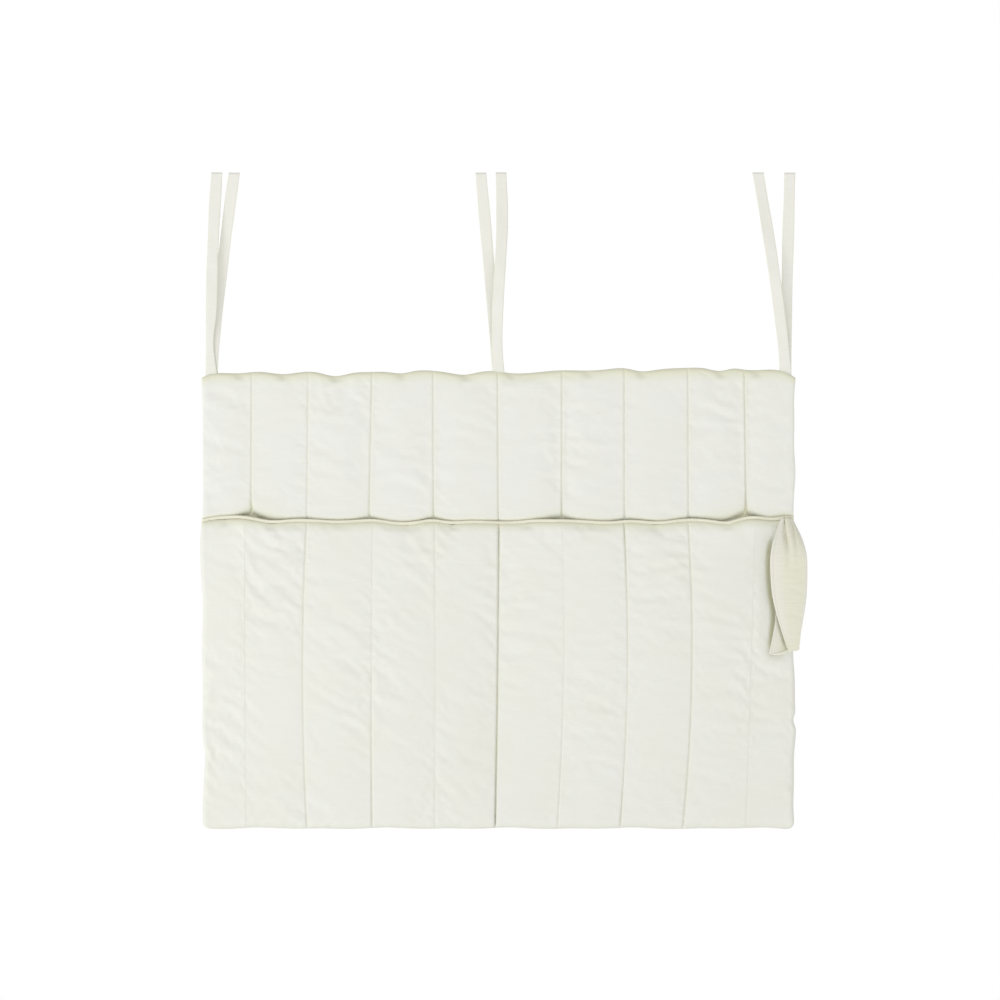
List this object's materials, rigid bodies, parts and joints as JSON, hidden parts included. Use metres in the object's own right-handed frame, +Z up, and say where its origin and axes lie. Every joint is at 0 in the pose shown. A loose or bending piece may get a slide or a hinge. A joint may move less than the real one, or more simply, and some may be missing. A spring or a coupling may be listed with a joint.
{
  "type": "hanging pocket organizer",
  "caption": "Quilted cotton hanging organizer with a wide divided front pocket, paired cloth ties along the top edge and a fabric loop at the side.",
  "frame": {"origin": "middle of the top edge, where the centre pair of ties is sewn, in the plane of the rear crowns", "axes": "+X to the right as seen from the front, +Y to the rear, +Z up along the ties"},
  "size_m": [0.6111, 0.0353, 0.664],
  "materials": {
    "face_cotton": "matte woven cotton, cream",
    "lining_cotton": "matte woven cotton, cream",
    "wadding": "matte fibre wadding, white",
    "binding_tape": "matte folded cotton tape, cream",
    "tie_tape": "matte folded cotton tape, cream",
    "loop_strap": "matte woven cotton strap, cream"
  },
  "bodies": {
    "back_panel": {"back_face_cloth": "face_cotton", "back_wadding": "wadding", "back_lining": "lining_cotton", "pocket_left_side_face_cloth": "face_cotton", "pocket_left_side_wadding": "wadding", "pocket_left_side_lining": "lining_cotton", "pocket_left_side_binding": "binding_tape", "pocket_right_side_face_cloth": "face_cotton", "pocket_right_side_wadding": "wadding", "pocket_right_side_lining": "lining_cotton", "pocket_right_side_binding": "binding_tape"},
    "left_pocket_front": {"pocket_left_front_face_cloth": "face_cotton", "pocket_left_front_wadding": "wadding", "pocket_left_front_lining": "lining_cotton", "pocket_left_front_binding": "binding_tape"},
    "right_pocket_front": {"pocket_right_front_face_cloth": "face_cotton", "pocket_right_front_wadding": "wadding", "pocket_right_front_lining": "lining_cotton", "pocket_right_front_binding": "binding_tape"},
    "left_front_tie": {"tie_left_front": "tie_tape"},
    "left_rear_tie": {"tie_left_rear": "tie_tape"},
    "centre_front_tie": {"tie_centre_front": "tie_tape"},
    "centre_rear_tie": {"tie_centre_rear": "tie_tape"},
    "right_front_tie": {"tie_right_front": "tie_tape"},
    "right_rear_tie": {"tie_right_rear": "tie_tape"},
    "loop": {"side_loop": "loop_strap"}
  },
  "joints": [
    {"name": "left_pocket_open", "type": "hinge", "parent": "back_panel", "child": "left_pocket_front", "pos_m": [-0.1245, -0.0058, -0.46], "axis": [1, 0, 0], "range_deg": [0, 6], "stiffness_Nm_per_rad": 0.5},
    {"name": "right_pocket_open", "type": "hinge", "parent": "back_panel", "child": "right_pocket_front", "pos_m": [0.1245, -0.0058, -0.46], "axis": [1, 0, 0], "range_deg": [0, 6], "stiffness_Nm_per_rad": 0.5},
    {"name": "left_front_tie_swing", "type": "hinge", "parent": "back_panel", "child": "left_front_tie", "pos_m": [-0.2905, -0.00625, 0.0003], "axis": [1, 0, 0], "range_deg": [0, 120]},
    {"name": "left_rear_tie_swing", "type": "hinge", "parent": "back_panel", "child": "left_rear_tie", "pos_m": [-0.2905, -0.00355, 0.0003], "axis": [-1, 0, 0], "range_deg": [0, 120]},
    {"name": "centre_front_tie_swing", "type": "hinge", "parent": "back_panel", "child": "centre_front_tie", "pos_m": [0, -0.00625, 0.0003], "axis": [1, 0, 0], "range_deg": [0, 120]},
    {"name": "centre_rear_tie_swing", "type": "hinge", "parent": "back_panel", "child": "centre_rear_tie", "pos_m": [0, -0.00355, 0.0003], "axis": [-1, 0, 0], "range_deg": [0, 120]},
    {"name": "right_front_tie_swing", "type": "hinge", "parent": "back_panel", "child": "right_front_tie", "pos_m": [0.2905, -0.00625, 0.0003], "axis": [1, 0, 0], "range_deg": [0, 120]},
    {"name": "right_rear_tie_swing", "type": "hinge", "parent": "back_panel", "child": "right_rear_tie", "pos_m": [0.2905, -0.00355, 0.0003], "axis": [-1, 0, 0], "range_deg": [0, 120]},
    {"name": "loop_lift", "type": "hinge", "parent": "back_panel", "child": "loop", "pos_m": [0.292, -0.0156, -0.147], "axis": [-1, 0, 0], "range_deg": [0, 100]}
  ]
}
